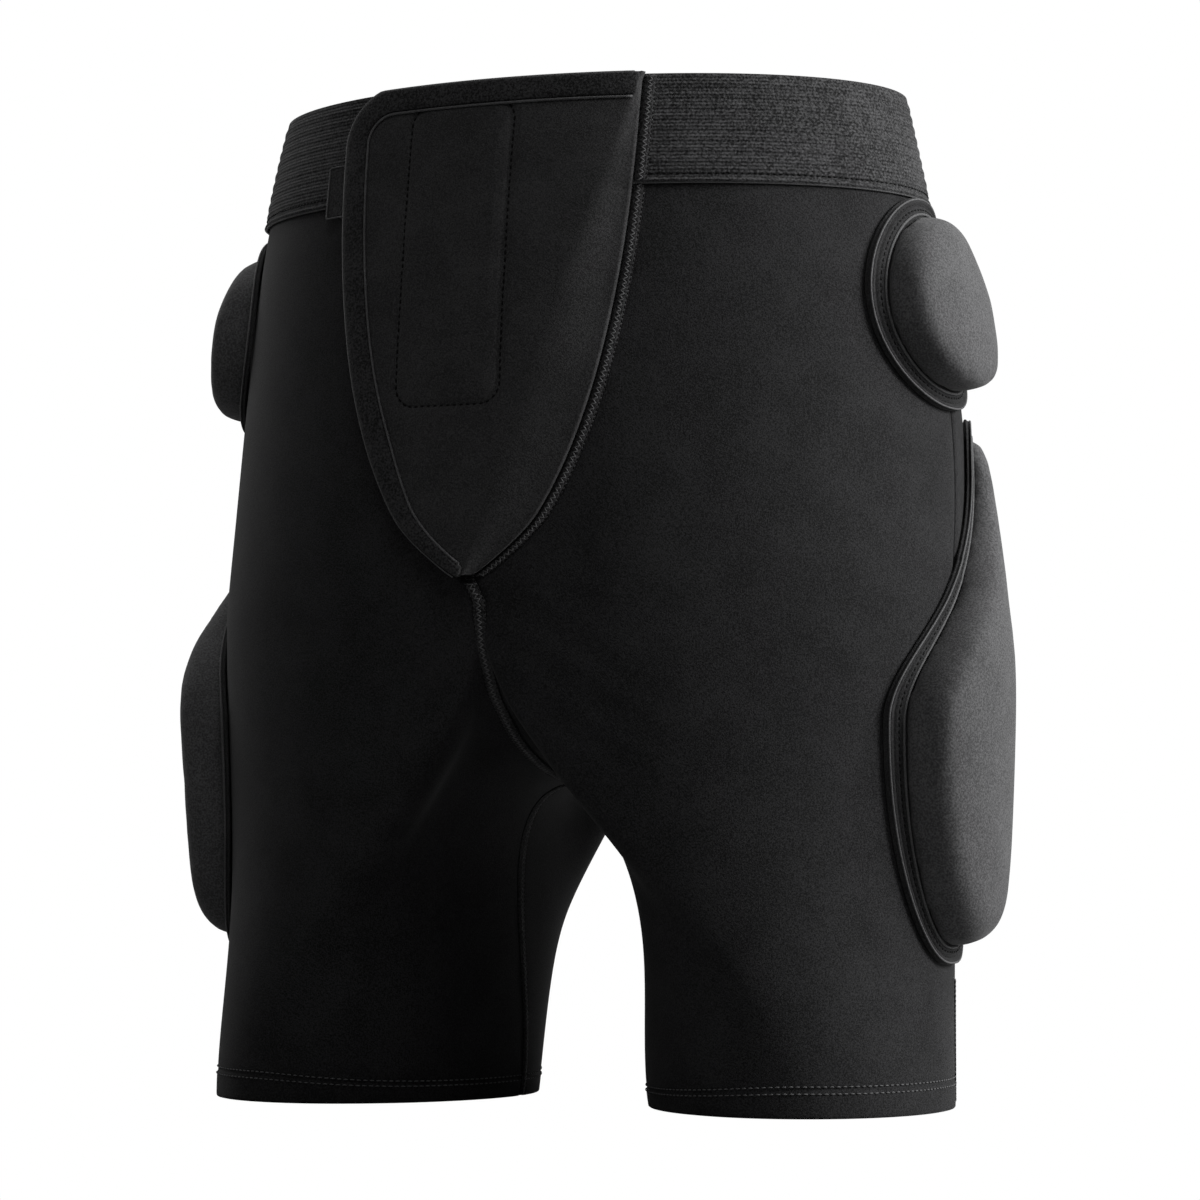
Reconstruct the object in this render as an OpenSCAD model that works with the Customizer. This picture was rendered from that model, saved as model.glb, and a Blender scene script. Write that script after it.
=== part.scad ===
// Padded impact shorts for skiing and snowboarding.
// Frame: the shorts stand on their leg hems. +Z up, -Y is the wearer's front,
// +X is the wearer's left. All sizes in millimetres.

/* [Body] */
// Height from the leg hem to the top of the waistband
outseam = 480; // [440:5:520]
// Half-width across the hips, at the fork
hip_w = 188; // [175:1:200]
// Half-width across the top of the waistband
waist_w = 157; // [140:1:170]
// Depth in front of the middle plane, at the fork
fork_front = 122; // [110:1:130]
// Depth in front of the middle plane, at the waist
waist_front = 98; // [90:1:110]
// Depth behind the middle plane, at the fork
fork_back = 112; // [105:1:125]
// Depth behind the middle plane, at the waist
waist_back = 104; // [95:1:115]
// How far the seat swells behind
seat_swell = 26; // [10:1:30]

/* [Legs] */
// Height at which the centre lines turn under into the crotch
fork_z = 235; // [220:1:250]
// How far the crotch hangs below the fork
crotch_drop = 82; // [70:1:90]
// Distance of each leg's axis from the middle, at the hem
hem_x = 112; // [106:1:118]
// Half-width of the leg at the hem
hem_w = 72; // [66:1:76]
// Half-depth of the leg at the hem
hem_d = 85; // [78:1:92]
// How far each leg is turned out
turn_out = 20; // [0:1:25]

/* [Cloth] */
// Thickness of the shell cloth
cloth_t = 2.6; // [2:0.2:4]
// Height of the elastic waistband
band_h = 52; // [45:1:60]
// Thickness of the elastic
band_t = 2; // [1.5:0.1:2.5]
// Height of the turned-up leg hem
hem_h = 14; // [10:1:20]

/* [Front flap] */
// Half-width of the flap at its top
flap_w = 73; // [65:1:78]
// Middle line of the flap, towards the wearer's right
flap_x = -6; // [-10:1:0]
// Height of the flap's lower tip
flap_tip_z = 246; // [242:1:260]
// Radius of the flap's free top corner
flap_corner = 26; // [15:1:35]
// Thickness of the flap
flap_t = 2.7; // [2:0.1:3.5]
// Width of the binding on the flap's free edge
binding_w = 11; // [8:1:14]
// Width of the hook patch behind the flap
hook_w = 55; // [45:1:58]
// Height of the hook patch behind the flap
hook_h = 137; // [110:1:140]

/* [Pads] */
// Thickness of the seat and tailbone pads
small_pad_t = 17; // [12:1:20]
// Thickness of the hip pads
hip_pad_t = 23; // [14:1:28]
// Thickness of the thigh pads, with their covers
thigh_pad_t = 27; // [16:1:32]
// Width of the sewn border around each pad
border = 10; // [7:1:12]

/* [Hidden] */
PAD_NAMES = ["left_hip_pad", "right_hip_pad", "left_thigh_pad", "right_thigh_pad",
             "left_seat_pad", "right_seat_pad", "tailbone_pad"];
PAD_PIECES = ["base", "foam", "cover", "piping"];

shell_colour = [0.13, 0.13, 0.135];
elastic_colour = [0.2, 0.2, 0.205];
cover_colour = [0.24, 0.24, 0.245];
foam_colour = [0.75, 0.74, 0.7];
thread_colour = [0.3, 0.3, 0.3];
patch_colour = [0.08, 0.08, 0.08];

// The frame's origin is under the middle of the whole object, pads included.
centre_shift = -9;
gap = 0.5;               // clearance between neighbouring pieces
seam_gap = 0.6;          // clearance between two panels at a seam
pad_gap = 0.9;           // clearance between the shell and the pads sewn on it
panel_top = outseam - band_h + 6;
band_z = outseam - band_h;
inner_reach = 175;       // how fully the inner thigh rounds into the crotch
inner_taper = 30;        // how far the inner thighs spread towards the hems
leg_rows = 11;
body_rows = 8;
step = 9;                // degrees between the columns of a panel

// ---- the body form -----------------------------------------------------

function ease(t) = t * t * (3 - 2 * t);
function clamp(t, low, high) = min(max(t, low), high);
function mix(p, q, t) = p + (q - p) * t;
function rise(z) = (z - fork_z) / (outseam - fork_z);

function half_width(z) = mix(hip_w, waist_w, pow(rise(z), 2));
function front_depth(z) = mix(fork_front, waist_front, pow(rise(z), 2));
function back_depth(z) = mix(fork_back, waist_back, rise(z))
    + seat_swell * pow(sin(180 * pow(rise(z), 0.65)), 2);

// A point of the trunk: angle 0 is the wearer's left side, 90 the front, -90 the back.
function trunk(angle, z, lift) =
    let (f = front_depth(z), b = back_depth(z))
    [(half_width(z) + lift) * cos(angle), (b - f) / 2 - ((b + f) / 2 + lift) * sin(angle), z];

// A point of the left leg's hem.
function hem_ring(angle, lift) =
    let (u = (hem_w + lift) * cos(angle), v = (hem_d + lift) * sin(angle))
    [hem_x + u * cos(turn_out) + v * sin(turn_out), -5 - v * cos(turn_out) + u * sin(turn_out), 0];

// The leg's upper rim: the trunk outside, and the crotch line between the legs.
function fork_depth() = (fork_front + fork_back) / 2;
function fork_rim(angle, lift) = cos(angle) >= -0.0001
    ? trunk(angle, fork_z, lift)
    : [seam_gap / 2, (fork_back - fork_front) / 2 - (fork_depth() + lift) * sin(angle),
       fork_z + (crotch_drop + lift) * cos(angle)];

// How far an angle is round to the inner side: 0 outside and 1 at the inseam.
function inward(angle) = ease(clamp(-cos(angle), 0, 1));
function along_crotch(angle) =
    let (v = [0, fork_depth() * cos(angle) * sign(sin(angle)), crotch_drop * abs(sin(angle))])
    v / max(norm(v), 0.001);

// A point of the left leg: share 0 at the hem and 1 at the fork. A smooth cubic in share.
function leg(angle, share, lift) =
    let (s = share, k = inward(angle),
         start = [-inner_taper * k, 0, fork_z * (1 - 0.33 * k)],
         finish = fork_z * (1 - k) * (cos(angle) >= -0.0001 ? [0, 0, 1] : along_crotch(angle))
             + [-inner_reach * k, 0, 0])
    (2 * s * s * s - 3 * s * s + 1) * hem_ring(angle, lift)
    + (s * s * s - 2 * s * s + s) * start
    + (3 * s * s - 2 * s * s * s) * fork_rim(angle, lift)
    + (s * s * s - s * s) * finish;

// A point anywhere on the left side's outside, by height.
function outside(angle, z, lift) = z >= fork_z
    ? trunk(angle, z, lift)
    : leg(angle, z / fork_z, lift);

// The angle at which the left side's outside has the given y.
function side_angle(y, z) =
    let (w = z >= fork_z ? 1 : ease(z / fork_z),
         zt = max(z, fork_z),
         f = front_depth(zt), b = back_depth(zt),
         p = (1 - w) * hem_d * cos(turn_out) + w * (b + f) / 2,
         q = (1 - w) * hem_w * sin(turn_out),
         c = (1 - w) * -5 + w * (b - f) / 2)
    atan2(q, p) + asin(clamp((c - y) / sqrt(p * p + q * q), -1, 1));

// Points on the side, front and back by their flat coordinates.
function on_side(y, z, lift) = outside(side_angle(y, z), z, lift);
function on_front(x, z, lift) = trunk(acos(clamp(x / half_width(z), -1, 1)), z, lift);
function on_back(x, z, lift) = trunk(-acos(clamp(x / half_width(max(z, fork_z)), -1, 1)),
                                     max(z, fork_z), lift)
    + [0, 0, min(z - fork_z, 0)];

// ---- solids from rows of points ------------------------------------------

// Cloth between two surfaces, each a list of rows from the bottom up. Seen from outside, a row
// runs to the left, and a row may be shorter than the one below it.
module cloth(outer, inner) {
    n = len(outer);
    start = [for (i = 0, total = 0; i < n; total = total + len(outer[i]), i = i + 1) total];
    count = start[n - 1] + len(outer[n - 1]);
    function at(i, j) = start[i] + j;
    rim = concat(
        [for (j = [0 : len(outer[0]) - 1]) at(0, j)],
        [for (i = [0 : n - 2]) each concat(
            [for (j = [len(outer[i]) - 2 : -1 : len(outer[i + 1]) - 1]) at(i, j)],
            [at(i + 1, len(outer[i + 1]) - 1)])],
        [for (j = [len(outer[n - 1]) - 2 : -1 : 0]) at(n - 1, j)],
        [for (i = [n - 2 : -1 : 1]) at(i, 0)]);
    m = len(rim);
    faces = [
        for (i = [0 : n - 2], j = [0 : min(len(outer[i]), len(outer[i + 1])) - 2])
            each [[at(i + 1, j + 1), at(i + 1, j), at(i, j)], [at(i, j + 1), at(i + 1, j + 1), at(i, j)],
                  [at(i, j) + count, at(i + 1, j) + count, at(i + 1, j + 1) + count],
                  [at(i, j) + count, at(i + 1, j + 1) + count, at(i, j + 1) + count]],
        for (k = [0 : m - 1]) let (a = rim[k], b = rim[(k + 1) % m])
            each [[b + count, b, a], [a + count, b + count, a]]];
    polyhedron(concat([for (row = outer) each row], [for (row = inner) each row]), faces, 4);
}

// A solid between an upper and a lower stack of rings, which both close at a middle point.
module disc(upper, upper_top, lower, lower_top) {
    m = len(upper[0]);
    n = len(upper);
    k = len(lower);
    base = n * m + 1;
    last = base + k * m;
    points = concat([for (r = upper) each r], [upper_top], [for (r = lower) each r], [lower_top]);
    faces = [
        for (i = [0 : n - 2], j = [0 : m - 1]) let (j2 = (j + 1) % m)
            each [[i * m + j, (i + 1) * m + j2, i * m + j2], [i * m + j, (i + 1) * m + j, (i + 1) * m + j2]],
        for (j = [0 : m - 1]) [(n - 1) * m + j, n * m, (n - 1) * m + (j + 1) % m],
        for (i = [0 : k - 2], j = [0 : m - 1]) let (j2 = (j + 1) % m)
            each [[base + i * m + j, base + i * m + j2, base + (i + 1) * m + j2],
                  [base + i * m + j, base + (i + 1) * m + j2, base + (i + 1) * m + j]],
        for (j = [0 : m - 1]) [base + (k - 1) * m + j, base + (k - 1) * m + (j + 1) % m, last],
        for (j = [0 : m - 1]) let (j2 = (j + 1) % m)
            each [[j, j2, base + j2], [j, base + j2, base + j]]];
    polyhedron(points, faces, 4);
}

// A closed tube of six sides along a closed loop of rings.
module ring_tube(rings) {
    n = len(rings);
    m = len(rings[0]);
    polyhedron([for (r = rings) each r],
        [for (i = [0 : n - 1], j = [0 : m - 1])
            let (i2 = (i + 1) % n, j2 = (j + 1) % m)
            each [[i * m + j, i * m + j2, i2 * m + j2], [i * m + j, i2 * m + j2, i2 * m + j]]], 4);
}

module on_both(right) {
    translate([0, centre_shift, 0]) mirror([right ? 1 : 0, 0, 0]) children();
}

// ---- the front flap's outline -----------------------------------------------

function flap_rise(z) = clamp((z - flap_tip_z) / (outseam - flap_tip_z), 0, 1);
function flap_half(z) = flap_w * pow(1 - pow(1 - flap_rise(z), 2.5), 0.6);
function corner_cut(z) =
    let (h = clamp(z - (outseam - flap_corner), 0, flap_corner))
    flap_corner - sqrt(flap_corner * flap_corner - h * h);
function free_edge(z) = flap_x - flap_half(z) + corner_cut(z);
function sewn_edge(z) = flap_x + flap_half(z);
function fold_line(z) = flap_x + flap_w * flap_rise(z);
function root_edge(z) = max(sewn_edge(z), fold_line(z) + 1.2);

// ---- shell panels -------------------------------------------------------------

// Heights of the rows beside the fly, closer together near its tip.
function fly_level(i) = mix(flap_tip_z, panel_top, pow(i / body_rows, 1.4));

// The front panel of one leg and hip, from the side seam to the inseam and the fly.
function front_rows(lift, edge_side) = concat(
    [for (i = [0 : leg_rows]) [for (angle = [0 : step : 180])
        leg(clamp(angle, 0.1, 179.9), i / leg_rows, lift)]],
    [for (i = [0 : body_rows])
        let (z = fly_level(i),
             end = acos((edge_side * flap_x + flap_half(z) + seam_gap) / half_width(z)))
        [for (angle = [0 : step : 90]) trunk(mix(0.1, end, angle / 90), z, lift)]]);

// The back panel of one leg and hip, from the side seam to the inseam and the centre back.
function back_rows(lift) = concat(
    [for (i = [0 : leg_rows]) [for (angle = [0 : step : 180])
        leg(-clamp(angle, 0.1, 179.9), i / leg_rows, lift)]],
    [for (i = [1 : body_rows])
        [for (angle = [0 : step : 90])
            trunk(-clamp(angle, 0.1, 89.9), mix(fork_z, panel_top, i / body_rows), lift)]]);

module front_panel(right) {
    side = right ? -1 : 1;
    color(shell_colour) on_both(right) cloth(front_rows(0, side), front_rows(-cloth_t, side));
}

module back_panel(right) {
    color(shell_colour) on_both(right) cloth(back_rows(-cloth_t), back_rows(0));
}

// The turned-up hem lies inside the leg.
module leg_hem(right) {
    function rows(lift) = [for (z = [0, hem_h / 2, hem_h]) [for (angle = [0 : step : 360])
        leg(clamp(angle, 0.2, 359.8), z / fork_z, lift)]];
    color(shell_colour) on_both(right)
        cloth(rows(-cloth_t - gap), rows(-cloth_t - gap - 2));
}

// The fly's underlap is sewn to the right front panel and fills the shield under the flap.
module fly_underlap() {
    low_rise = 2;
    low_half = flap_half(fly_level(1)) * low_rise / (fly_level(1) - flap_tip_z);
    levels = concat([[flap_tip_z + low_rise, low_half]],
        [for (i = [1 : body_rows]) [fly_level(i), flap_half(fly_level(i))]],
        [[outseam - 2, flap_half(outseam - 2)]]);
    function rows(lift) = [for (level = levels)
        [for (j = [0 : 12]) on_front(flap_x + (level[1] - seam_gap) * (1 - j / 6), level[0], lift)]];
    color(shell_colour) on_both(false) cloth(rows(0), rows(-cloth_t));
}

// The band starts at the flap's sewn edge, goes round the back and ends under the flap.
module elastic_waistband() {
    band_end = -54;
    from = acos((sewn_edge(outseam) + 3) / waist_w);
    to = acos(band_end / waist_w) - 360;
    function rows(lift) = [for (i = [0 : 3])
        [for (j = [0 : 44]) trunk(mix(from, to, j / 44), mix(band_z, outseam, i / 3), lift)]];
    color(elastic_colour) on_both(false) cloth(rows(gap), rows(gap + band_t));
}

// ---- flap, patches and trim -----------------------------------------------------

flap_low = 4.2;          // height of the flap's underside above the shell
flap_high = flap_low + flap_t;

// The flap folds open along a straight line. Its root slopes down from the fold to the sewn edge.
module flap_root() {
    function rows(lift) = [for (i = [0 : 14])
        let (z = mix(flap_tip_z + 3, outseam, pow(i / 14, 1.3)), left = fold_line(z) + gap,
             right = root_edge(z))
        [for (j = [0 : 6]) on_front(mix(right, left, j / 6), z, lift + mix(gap, flap_low, ease(j / 6)))]];
    color(shell_colour) on_both(false) cloth(rows(flap_t), rows(0));
}

module front_flap() {
    function rows(lift) = [for (i = [0 : 14])
        let (z = mix(flap_tip_z + 3, outseam, pow(i / 14, 1.3)))
        [for (j = [0 : 8]) on_front(mix(fold_line(z) - gap, free_edge(z), j / 8), z, lift)]];
    color(shell_colour) on_both(false) cloth(rows(flap_high), rows(flap_low));
}

// The binding runs up the free edge from the tip, round the corner and along the top.
module flap_binding() {
    side_part = [for (i = [0 : 12])
        let (z = mix(flap_tip_z + 8, outseam - flap_corner, pow(i / 12, 1.2))) [free_edge(z), z]];
    bend = [for (angle = [15 : 15 : 90])
        [flap_x - flap_w + flap_corner * (1 - cos(angle)), outseam - flap_corner * (1 - sin(angle))]];
    corner_x = flap_x - flap_w + flap_corner;
    top_part = [for (i = [1 : 5]) [mix(corner_x, sewn_edge(outseam) - 2, i / 5), outseam]];
    path = concat(side_part, bend, top_part);
    n = len(path);
    function way(i) =
        let (d = path[min(i + 1, n - 1)] - path[max(i - 1, 0)]) d / norm(d);
    function rows(lift) = [for (i = [0 : n - 1]) [for (d = [0, binding_w / 2, binding_w])
        let (p = path[i] + d * [way(i)[1], -way(i)[0]])
        on_front(min(p[0], fold_line(p[1]) - 0.5), p[1], lift)]];
    color(elastic_colour) on_both(false)
        cloth(rows(flap_high + gap), rows(flap_high + gap + 1.2));
}

module patch(left, right, low, high, lift, thickness) {
    function rows(l) = [for (i = [0 : 8]) [for (j = [0 : 6])
        on_front(mix(right, left, j / 6), mix(low, high, i / 8), l)]];
    color(patch_colour) on_both(false) cloth(rows(lift + thickness), rows(lift));
}

hook_left = -51;
hook_low = 330;

// Hooks on the flap's underside meet the loops on the underlap.
module hook_patch() {
    patch(hook_left, hook_left + hook_w, hook_low, hook_low + hook_h, flap_low - gap - 1.3, 1.3);
}

module loop_patch() {
    patch(hook_left + 2, hook_left + hook_w + 2, hook_low + 2, hook_low + hook_h + 2, gap, 1.2);
}

module flap_tip_bar_tack() {
    patch(flap_x - 5, flap_x + 5, flap_tip_z - 4, flap_tip_z + 2, gap, 2.4);
}

// A small folded tab that peeps out from under the flap, across the band's lower edge.
module waistband_tab() {
    patch(-94, -72, 422, 446, band_t + 2 * gap, 0.5);
}

// Flatlock seams: flat bands of thread over each joint between panels.
seam_w = 6;
seam_t = 0.8;

module seam_along(lines) {
    color(thread_colour) cloth(lines[1], lines[0]);
}

// Along the flap's sewn edge, from the band to the tip.
module flap_seam() {
    function rows(lift) = [for (i = [0 : 14])
        let (z = mix(flap_tip_z + 6, band_z - 1, pow(i / 14, 1.3)))
        [for (d = [1 + seam_w, 1 + seam_w / 2, 1]) on_front(root_edge(z) + d, z, lift)]];
    on_both(false) seam_along([rows(gap), rows(gap + seam_t)]);
}

// A vertical zigzag tape where the elastic meets the flap.
module waistband_end_seam() {
    function rows(lift) = [for (i = [0 : 4])
        let (z = mix(band_z + 1, outseam - 1, i / 4))
        [for (d = [2 + seam_w, 2 + seam_w / 2, 2]) on_front(root_edge(z) + d, z, lift)]];
    on_both(false) seam_along([rows(band_t + 2 * gap), rows(band_t + 2 * gap + seam_t)]);
}

// From the flap's tip under the crotch and up the back to the tailbone pad.
module centre_seam() {
    // It is narrower, and stands a little higher, where the cloth curves sharply under the crotch.
    narrow = 1.2;
    function across(p, half) = [for (x = [half, 0, -half]) p + [x, 0, 0]];
    function under(turn, lift) =
        let (edge = leg(turn, 1 - 1 / leg_rows, lift), middle = leg(turn, 1, lift),
             side = mix(middle, edge, narrow / edge[0]))
        [[narrow, side[1], side[2]], [0, middle[1], middle[2]], [-narrow, side[1], side[2]]];
    function rows(lift) = concat(
        [for (z = [334 : -11 : 250]) across(on_back(0, z, lift), seam_w / 2)],
        [for (z = [246, 241, fork_z]) across(on_back(0, z, lift + 1), narrow)],
        [for (turn = [261 : -step : 99]) under(turn, lift + 1.5)],
        [for (z = [fork_z, flap_tip_z - 5])
            across(on_front(flap_x * (z - fork_z) / (flap_tip_z - fork_z), z, lift + 1), narrow)]);
    color(thread_colour) on_both(false) cloth(rows(gap + seam_t), rows(gap));
}

// Up the inside of each leg, where its front and back panels meet.
module inseam(right) {
    function rows(lift) = [for (i = [0 : 9])
        [for (turn = [-2, 0, 2]) leg(180 + turn, mix(0.02, 0.92, i / 9), lift)]];
    color(thread_colour) on_both(right) cloth(rows(gap + seam_t), rows(gap));
}

// Down each side below the thigh pad, where the front and back panels meet.
module side_seam(right) {
    function rows(lift) = [for (i = [0 : 6])
        [for (turn = [-2, 0, 2]) outside(turn, mix(3, 60, i / 6), lift)]];
    color(thread_colour) on_both(right) cloth(rows(gap + seam_t), rows(gap));
}

// ---- pads ------------------------------------------------------------------------

// Each pad is [middle across, middle height, half-width, half-height, squareness, how far it
// narrows, how far it leans, the heights between which it does so, and its number of spokes].
hip_pad = [1, 377, 38, 40, 0.9, 0.06, 0, 339, 415, 24];
thigh_pad = [-4, 197, 38, 119, 0.72, 0.5, 48, 180, 296, 36];
seat_pad = [68, 288, 44, 50, 0.85, 0.1, -4, 238, 338, 24];
tail_pad = [0, 380, 22, 32, 0.8, -0.45, 0, 348, 412, 24];

function power(v, e) = sign(v) * pow(abs(v), e);

// A point of a pad's outline in flat coordinates; grow widens it, and ring shrinks it.
function pad_flat(pad, turn, ring, grow) =
    let (v = sin(turn) * ring,
         z = pad[1] + (pad[3] + grow) * v,
         share = ease(clamp((z - pad[7]) / (pad[8] - pad[7]), 0, 1)),
         half = pad[2] * (1 - pad[5] * share) + grow)
    [pad[0] + pad[6] * share + half * power(cos(turn), pad[4]) * ring, z];

function lay(place, p, lift) = place == "side" ? on_side(p[0], p[1], lift) : on_back(p[0], p[1], lift);
function spoke(place, pad, k) = k * 360 / pad[9] * (place == "side" ? 1 : -1);
function pad_ring(place, pad, ring, grow, lift) =
    [for (k = [0 : pad[9] - 1]) lay(place, pad_flat(pad, spoke(place, pad, k), ring, grow), lift)];
function pad_middle(place, pad, lift) = lay(place, pad_flat(pad, 0, 0, 0), lift);

base_t = 2;
cover_t = 1.6;
// Rings of a flat piece, as shares of the outline.
flat = [1, 0.8, 0.6, 0.4, 0.2];
// Rings of the domed cover: [share of the outline, share of the height].
dome = [[1, 0], [0.97, 0.42], [0.88, 0.8], [0.7, 0.95], [0.4, 1]];

module pad_base(place, pad, right) {
    function rings(lift) = [for (r = flat) pad_ring(place, pad, r, border, lift)];
    color(shell_colour) on_both(right)
        disc(rings(pad_gap + base_t), pad_middle(place, pad, pad_gap + base_t),
             rings(pad_gap), pad_middle(place, pad, pad_gap));
}

cover_low = pad_gap + base_t + gap;

module pad_cover(place, pad, height, right) {
    rise = height - cover_low;
    outer = [for (d = dome) pad_ring(place, pad, d[0], 0, cover_low + rise * d[1])];
    inner = [for (d = dome) pad_ring(place, pad, d[0], -cover_t, cover_low + (rise - cover_t) * d[1])];
    color(cover_colour) on_both(right)
        disc(outer, pad_middle(place, pad, height), inner, pad_middle(place, pad, height - cover_t));
}

module pad_foam(place, pad, height, right) {
    rise = height - cover_t - gap - cover_low;
    upper = [for (d = dome) pad_ring(place, pad, d[0], -cover_t - 1, cover_low + max(1, rise * d[1]))];
    lower = [for (r = flat) pad_ring(place, pad, r, -cover_t - 1, cover_low)];
    color(foam_colour) on_both(right)
        disc(upper, pad_middle(place, pad, height - cover_t - gap), lower,
             pad_middle(place, pad, cover_low));
}

// A cord sewn round the foot of the cover.
module pad_piping(place, pad, right) {
    cord_r = 1.1;
    rings = [for (k = [0 : pad[9] - 1]) [for (t = [0 : 60 : 300])
        lay(place, pad_flat(pad, spoke(place, pad, k), 1, 1.7 + cord_r * cos(t)),
            cover_low + cord_r + 0.4 + cord_r * sin(t))]];
    color(thread_colour) on_both(right) ring_tube(rings);
}

module pad(name, piece) {
    right = name[0] == "r";
    hip = name == "left_hip_pad" || name == "right_hip_pad";
    thigh = name == "left_thigh_pad" || name == "right_thigh_pad";
    place = hip || thigh ? "side" : "back";
    shape = hip ? hip_pad : thigh ? thigh_pad : name == "tailbone_pad" ? tail_pad : seat_pad;
    height = thigh ? thigh_pad_t : hip ? hip_pad_t : small_pad_t;
    if (piece == "base") pad_base(place, shape, right);
    if (piece == "foam") pad_foam(place, shape, height, right);
    if (piece == "cover") pad_cover(place, shape, height, right);
    if (piece == "piping") pad_piping(place, shape, right);
}

front_panel(false);  // left_front_panel
front_panel(true);  // right_front_panel
back_panel(false);  // left_back_panel
back_panel(true);  // right_back_panel
fly_underlap();
elastic_waistband();
leg_hem(false);  // left_leg_hem
leg_hem(true);  // right_leg_hem
flap_root();
front_flap();
flap_binding();
hook_patch();
loop_patch();
flap_tip_bar_tack();
waistband_tab();
flap_seam();
waistband_end_seam();
centre_seam();
inseam(false);  // left_inseam
inseam(true);  // right_inseam
side_seam(false);  // left_side_seam
side_seam(true);  // right_side_seam
for (pad_name = PAD_NAMES, piece = PAD_PIECES)
    pad(pad_name, piece);
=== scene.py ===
# %% [markdown]
# # Padded impact shorts
# Close-fitting shorts for skiing and snowboarding: a dark knit shell, a ribbed elastic waistband, a
# fly flap held shut by hook-and-loop patches, and seven foam pads sewn to the outside. This lesson
# dresses the plain CAD model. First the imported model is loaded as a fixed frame, and its box is kept,
# because the finished shorts have to stay inside it.

# %% Load the frame
import math

import bmesh
import bpy
from mathutils import Matrix, Vector


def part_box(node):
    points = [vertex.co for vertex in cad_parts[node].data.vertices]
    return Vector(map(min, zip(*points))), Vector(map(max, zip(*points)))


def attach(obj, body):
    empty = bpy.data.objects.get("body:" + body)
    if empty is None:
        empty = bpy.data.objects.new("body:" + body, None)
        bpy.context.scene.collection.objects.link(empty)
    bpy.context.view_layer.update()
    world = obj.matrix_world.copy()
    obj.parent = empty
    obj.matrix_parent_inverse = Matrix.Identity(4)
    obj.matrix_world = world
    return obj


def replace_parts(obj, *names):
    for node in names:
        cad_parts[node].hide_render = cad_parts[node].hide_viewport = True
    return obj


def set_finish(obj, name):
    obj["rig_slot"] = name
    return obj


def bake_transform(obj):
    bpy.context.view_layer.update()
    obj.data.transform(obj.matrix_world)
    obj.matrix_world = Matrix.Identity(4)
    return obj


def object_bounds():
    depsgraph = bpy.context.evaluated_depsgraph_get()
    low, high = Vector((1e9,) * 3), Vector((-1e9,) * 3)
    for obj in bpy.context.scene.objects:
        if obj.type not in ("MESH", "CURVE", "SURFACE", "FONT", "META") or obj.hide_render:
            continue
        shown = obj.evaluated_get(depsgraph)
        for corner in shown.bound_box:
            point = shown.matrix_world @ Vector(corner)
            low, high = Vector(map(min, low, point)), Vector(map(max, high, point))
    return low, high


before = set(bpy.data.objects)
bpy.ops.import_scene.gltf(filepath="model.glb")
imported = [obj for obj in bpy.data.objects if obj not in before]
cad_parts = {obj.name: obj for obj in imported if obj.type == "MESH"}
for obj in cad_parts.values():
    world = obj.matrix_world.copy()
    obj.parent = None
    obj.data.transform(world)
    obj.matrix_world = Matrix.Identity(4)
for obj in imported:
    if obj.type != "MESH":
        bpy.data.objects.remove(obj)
cad_low, cad_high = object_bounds()
print("CAD box", tuple(cad_low), tuple(cad_high))

# %% [markdown]
# ## The wearer's form
# Every piece of a tight garment lies on one shape: the wearer. The shape could be sculpted, but then
# each seam and pad would have to be fitted to it by hand. A formula is chosen instead, so that a piece
# is cut flat, in plain sizes, and then laid on the form at its own height above it. The trunk is an
# oval at each height. Each leg is a smooth curve from the hem up to the trunk, or, on the inner side,
# to the line under the crotch. The heights come from the frame, and the rest are the wearer's sizes.

# %% Sizes of the form, in metres
outseam = cad_high.z
band_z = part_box("elastic_waistband")[0].z
panel_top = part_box("left_back_panel")[1].z
hip_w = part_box("left_back_panel")[1].x
flap_tip_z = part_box("flap_tip_bar_tack")[0].z + 0.004
cloth_t = 0.0026
fork_z = 0.235
waist_w = 0.157
fork_front, waist_front = 0.122, 0.098
fork_back, waist_back = 0.112, 0.104
fork_depth = (fork_front + fork_back) / 2
seat_swell = 0.026
crotch_drop = 0.082
hem_x, hem_w, hem_d = 0.112, 0.072, 0.085
turn_out = math.radians(20)
inner_reach, inner_taper = 0.175, 0.030
middle_y = -0.009
print(f"outseam {outseam:.3f} m, band from {band_z:.3f} m, hips {2 * hip_w:.3f} m wide")


# %% The form's formulas
def ease(t):
    """A smooth step from 0 to 1."""
    t = min(max(t, 0.0), 1.0)
    return t * t * (3 - 2 * t)


def mix(p, q, t):
    return p + (q - p) * t


def bump(distance, width):
    """1 at no distance, falling smoothly to 0 over a few widths."""
    return math.exp(-(distance / width) ** 2)


def cosd(angle):
    return math.cos(math.radians(angle))


def sind(angle):
    return math.sin(math.radians(angle))


def rise(z):
    return max((z - fork_z) / (outseam - fork_z), 0.0)


def half_width(z):
    return mix(hip_w, waist_w, rise(z) ** 2)


def front_depth(z):
    return mix(fork_front, waist_front, rise(z) ** 2)


def back_depth(z):
    return mix(fork_back, waist_back, rise(z)) + seat_swell * sind(180 * min(rise(z), 1) ** 0.65) ** 2


def oval(angle, z, lift):
    """A point of the trunk. Angle 0 is the wearer's left side, 90 the front and -90 the back."""
    front, back = front_depth(z), back_depth(z)
    depth = (back + front) / 2 + lift
    return Vector(((half_width(z) + lift) * cosd(angle), (back - front) / 2 - depth * sind(angle), z))


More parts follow.
